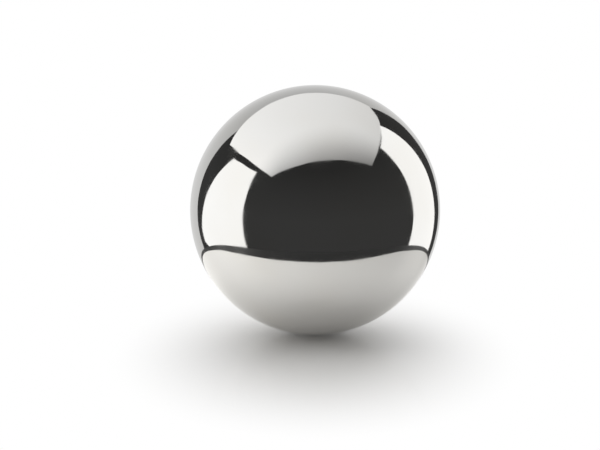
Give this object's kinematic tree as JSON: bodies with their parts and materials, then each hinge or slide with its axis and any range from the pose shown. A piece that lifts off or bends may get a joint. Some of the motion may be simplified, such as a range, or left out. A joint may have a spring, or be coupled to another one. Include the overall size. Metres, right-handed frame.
{
  "type": "sphere magnet",
  "caption": "Solid round ball magnet with a mirror-bright plated surface, which holds to steel or to other magnets at its two poles.",
  "frame": {"origin": "centre of the ball", "axes": "+Z along the magnetic axis, towards the north pole; the ball is the same all round, so X and Y are free"},
  "size_m": [0.005, 0.005, 0.005],
  "materials": {
    "nickel_plating": "bright nickel plating, mirror polished"
  },
  "bodies": {
    "root": {"magnet_ball": "nickel_plating"}
  },
  "joints": []
}
